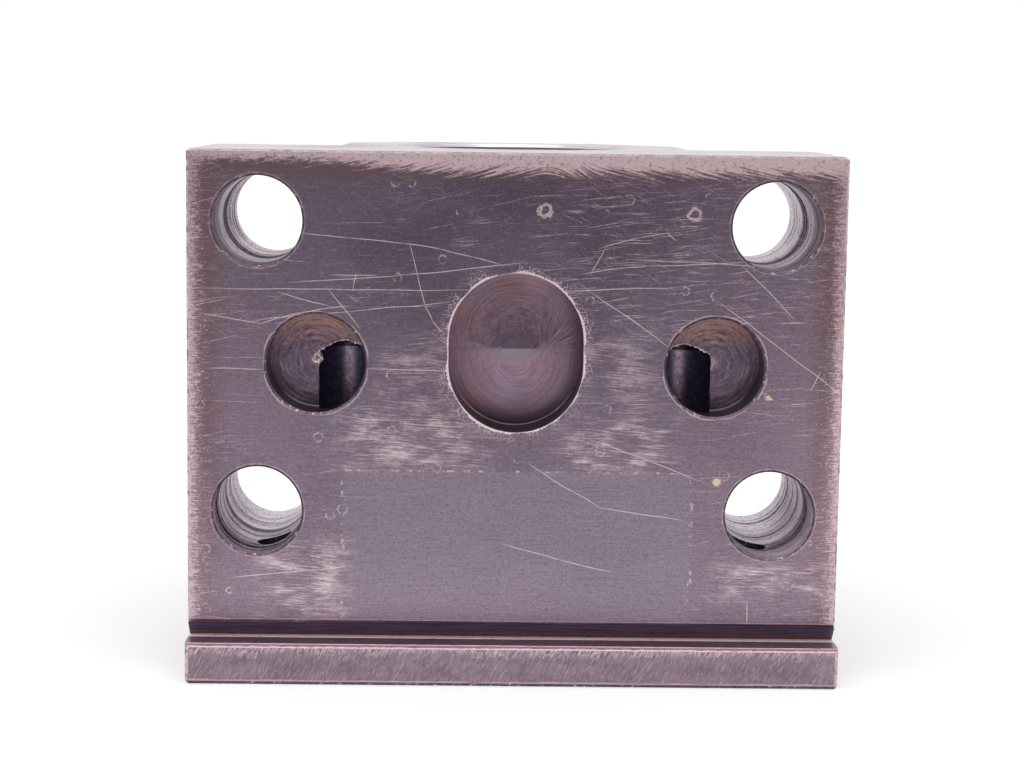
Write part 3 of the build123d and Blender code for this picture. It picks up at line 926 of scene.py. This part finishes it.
def tear_bolt_holes(form, wall, draw):
    """Cuts rings into the walls of the bolt holes, all outwards, so the bolts still pass."""
    for side in (-1, 1):
        for bolt_z in BOLT_ROWS:
            rings = torn_rings(draw, bolt_z > BOLT_Z)
            for place, _ in rings:
                cut_ring(form, wall, side, bolt_z, place)
            for place, out in rings:
                push_ring(form, wall, side, bolt_z, place, out)


def in_scene(name, data):
    """A new object with that data, in the scene."""
    thing = bpy.data.objects.new(name, data)
    bpy.context.scene.collection.objects.link(thing)
    return thing


def dressed_block(materials):
    """The block with its own mesh, smooth where it is round, and a material for each region."""
    names = list(materials)
    mesh = frame["nodes"]["block"].data.copy()
    mesh.name = "holder_block"
    form = bmesh.new()
    form.from_mesh(mesh)
    bmesh.ops.remove_doubles(form, verts=form.verts, dist=0.001 * MM)
    form.normal_update()
    for face in form.faces:
        face.smooth = True
        face.material_index = names.index(region_of(face.calc_center_median(), face.normal))
    tear_bolt_holes(form, names.index("bolt_wall"), random.Random(7))
    form.normal_update()
    for edge in form.edges:
        edge.smooth = edge.is_manifold and edge.calc_face_angle(0) < math.radians(25)
    mesh.materials.clear()
    for name in names:
        mesh.materials.append(materials[name])
    form.to_mesh(mesh)
    form.free()
    block = in_scene("holder_block", mesh)
    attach(block, "root")
    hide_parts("block")
    return block


def opening_edge(mesh, side):
    """The edge between a port's floor and its passage, as places from its low end on."""
    places = [point.co / MM for point in mesh.vertices]
    between = {mesh.materials.find(name) for name in ("port_steel", "passage_steel")}
    beside = {}
    for face in mesh.polygons:
        for ends in face.edge_keys:
            beside.setdefault(ends, set()).add(face.material_index)
    joined = {}
    for ends, regions in beside.items():
        on_floor = all(places[end].x * side > 0 and abs(places[end].y - PORT_FLOOR_Y) < 0.02 for end in ends)
        if regions == between and on_floor:
            for first, second in (ends, reversed(ends)):
                joined.setdefault(first, []).append(second)
    loose = [index for index in joined if len(joined[index]) == 1]
    onward = [min(loose, key=lambda index: places[index].z)]
    walk = []
    while onward:
        walk.append(onward[0])
        onward = [index for index in joined[walk[-1]] if index not in walk]
    return [places[index] for index in walk]


def evenly(points, step):
    """The same line with a place at every step."""
    spaced = [points[0]]
    for first, second in zip(points, points[1:]):
        count = max(1, round((second - first).length / step))
        spaced += [first.lerp(second, (index + 1) / count) for index in range(count)]
    return spaced


def add_rows(points, faces, rows):
    """A closed solid through rows of places that go round it, with a cap at both ends."""
    start = len(points)
    count = len(rows[0])
    for row in rows:
        points += row
    for row in range(len(rows) - 1):
        for index in range(count):
            after = (index + 1) % count
            low, high = start + row * count, start + (row + 1) * count
            faces.append((low + index, low + after, high + after, high + index))
    last = start + (len(rows) - 1) * count
    faces.append(tuple(reversed(range(start, start + count))))
    faces.append(tuple(range(last, last + count)))


# The burr is larger above this height, and dark like the port below the other.
BURR_HIGH_Z = PORT_Z + 1.2
BURR_PALE_Z = PORT_Z - 0.9
BURR_STEP = 0.25
BURR_SUNK = 0.06
# The stub in the left port: its rings with radius and height, its middle and its sides.
PIP_RINGS = ((1.15, -0.06), (1, 0.1), (0.62, 0.2), (0.3, 0.12), (0.12, 0.26))
PIP_X = -(PORT_X + 0.25)
PIP_Z = PORT_Z + 0.3
PIP_NARROW = 0.8
PIP_SIDES = 18


def torn_edge(line, draw):
    """Rows of a jagged burr along an opening's edge, hanging a little into the opening."""
    middle = Vector((math.copysign(PASSAGE_X, line[0].x), PORT_FLOOR_Y, OPENING_Z))
    rows = []
    for index, place in enumerate(line):
        ahead = line[min(index + 1, len(line) - 1)] - line[max(index - 1, 0)]
        inward = Vector((-ahead.z, 0, ahead.x)).normalized()
        inward *= 1 if inward.dot(middle - place) > 0 else -1
        high = place.z > BURR_HIGH_Z
        out = draw.uniform(0.02, 0.16) + (draw.uniform(0, 0.4) if high and draw.random() < 0.5 else 0)
        back = draw.uniform(0.05, 0.3 if high else 0.1)
        lift = Vector((0, -draw.uniform(0.05, 0.16), 0))
        sunk = Vector((0, BURR_SUNK, 0))
        low = (place - inward * back + sunk, place + inward * out + sunk)
        rows.append([*low, place + inward * out * 0.7 + lift, place - inward * back * 0.5 + lift])
    return rows


def pip(draw):
    """Rows of the torn stub that the drill left in the middle of the left port."""
    rows = []
    for radius, height in PIP_RINGS:
        row = []
        for index in range(PIP_SIDES):
            angle = index * math.tau / PIP_SIDES
            reach = radius * draw.uniform(0.85, 1.15)
            x = PIP_X + reach * math.cos(angle) * PIP_NARROW
            row.append(Vector((x, PORT_FLOOR_Y - height, PIP_Z + reach * math.sin(angle))))
        rows.append(row)
    return rows


def port_burr(name, block, side, materials, draw):
    """The torn metal of one port, pale above and dark like the port below."""
    points, faces = [], []
    add_rows(points, faces, torn_edge(evenly(opening_edge(block.data, side), BURR_STEP), draw))
    if side < 0:
        add_rows(points, faces, pip(draw))
    mesh = bpy.data.meshes.new(name)
    mesh.from_pydata([point * MM for point in points], [], faces)
    for material in materials:
        mesh.materials.append(material)
    form = bmesh.new()
    form.from_mesh(mesh)
    bmesh.ops.recalc_face_normals(form, faces=form.faces)
    for face in form.faces:
        face.material_index = 0 if mm(face.calc_center_median().z) > BURR_PALE_Z else 1
    form.to_mesh(mesh)
    form.free()
    burr = in_scene(name, mesh)
    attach(burr, "root")


# The studio, in metres. The card stands behind the camera, and the steel mirrors it.
WORLD_LEVEL = 0.55
SUN_LEVEL = 2
SUN_SPREAD = 95
SUN_TOWARDS = (0.04, 0.62, -0.75)
PAPER_GREY = 0.85
FLOOR_GLOW = 0.34
REACH = 3
FLOOR_FRONT = -0.6
CARD_GREY = 0.12
CARD_Y = -1.1
CARD_BOTTOM = -0.4
CARD_TOP = 1.6
CAMERA_PLACE = (-0.006559, -0.365938, 0.088274)
CAMERA_TURN = (82.537, -0.8108, -0.9566)
CAMERA_LENS = 76.02


def stage_plane(name, corners, material):
    mesh = bpy.data.meshes.new(name)
    mesh.from_pydata(corners, [], [tuple(range(len(corners)))])
    mesh.materials.append(material)
    plane = in_scene(name, mesh)
    return plane


def seen_directly(tree):
    """1 for rays from the camera and mirror and glass rays, 0 for light that falls on things."""
    path = new_node(tree, "LightPath").outputs
    seen = path["Is Camera Ray"]
    for name in ("Is Glossy Ray", "Is Transmission Ray"):
        seen = new_node(tree, "Math", (seen, path[name]), operation="MAXIMUM").outputs[0]
    return seen


def floor_material():
    """White paper. What the lamps leave short of white is added where it is seen, so its shadow stays."""
    material = bpy.data.materials.new("floor_paper")
    material.use_nodes = True
    tree = material.node_tree
    tree.nodes.clear()
    paper = new_node(tree, "BsdfDiffuse", {"Color": (PAPER_GREY, PAPER_GREY, PAPER_GREY, 1)})
    level = new_node(tree, "Math", (seen_directly(tree), FLOOR_GLOW), operation="MULTIPLY")
    glow = new_node(tree, "Emission", {"Strength": level.outputs[0]})
    both = new_node(tree, "AddShader", (paper.outputs[0], glow.outputs[0]))
    new_node(tree, "OutputMaterial", {"Surface": both.outputs[0]})
    return material


def card_material():
    material = bpy.data.materials.new("card_dark")
    material.use_nodes = True
    shader = material.node_tree.nodes["Principled BSDF"]
    shader.inputs["Base Color"].default_value = (CARD_GREY, CARD_GREY, CARD_GREY, 1)
    shader.inputs["Roughness"].default_value = 0.9
    return material


def stage():
    """The paper floor and the card, which the camera doesn't see."""
    floor = [(-REACH, FLOOR_FRONT, 0), (REACH, FLOOR_FRONT, 0), (REACH, REACH, 0), (-REACH, REACH, 0)]
    stage_plane("floor", floor, floor_material())
    corners = [(-REACH, CARD_BOTTOM), (-REACH, CARD_TOP), (REACH, CARD_TOP), (REACH, CARD_BOTTOM)]
    card = stage_plane("card", [(x, CARD_Y, z) for x, z in corners], card_material())
    card.visible_camera = False
    card.visible_shadow = False


def studio_world():
    """An even grey studio, white where it is the background."""
    world = bpy.data.worlds.new("studio")
    bpy.context.scene.world = world
    world.use_nodes = True
    tree = world.node_tree
    background = tree.nodes["Background"]
    background.inputs["Color"].default_value = (1, 1, 1, 1)
    levels = {"Value": seen_directly(tree), "To Min": WORLD_LEVEL, "To Max": 1}
    tree.links.new(new_node(tree, "MapRange", levels).outputs[0], background.inputs["Strength"])


def sun():
    lamp = bpy.data.lights.new("key", "SUN")
    lamp.energy = SUN_LEVEL
    lamp.angle = math.radians(SUN_SPREAD)
    in_scene("key", lamp).rotation_euler = Vector(SUN_TOWARDS).to_track_quat("-Z", "Y").to_euler()


def camera():
    """The camera at the photograph's angle."""
    data = bpy.data.cameras.new("camera")
    data.lens = CAMERA_LENS
    data.sensor_width = 36
    data.clip_start = 0.01
    holder = in_scene("camera", data)
    holder.location = CAMERA_PLACE
    holder.rotation_euler = [math.radians(angle) for angle in CAMERA_TURN]
    bpy.context.scene.camera = holder


steels = {
    "outer": outer_steel(),
    "base": base_face_steel(),
    "rim": rim_steel(),
    "mouth": mouth_steel(),
    "lip_edge": lip_edge_steel(),
    "bolt_wall": bolt_wall_steel(),
    "port": port_steel(),
    "pocket": pocket_steel(),
    "passage": passage_steel(),
    "lip": lip_steel(),
    "seat": seat_steel(),
    "undercut": undercut_steel(),
    "groove": groove_pale_highlight(),
    "end": end_steel(),
    "bore": bore_steel(),
}
block = dressed_block(steels)
metals = (burr_steel(), steels["port"])
port_burr("port_burr_left", block, -1, metals, random.Random(11))
port_burr("port_burr_right", block, 1, metals, random.Random(12))
better = {"clamp_screw": screw_steel(), "coolant_jet": jet_brass()}
for name, node in frame["nodes"].items():
    for start, material in better.items():
        if name.startswith(start):
            node.material_slots[0].material = material

stage()
studio_world()
sun()
camera()
bpy.context.scene.view_settings.view_transform = "Standard"
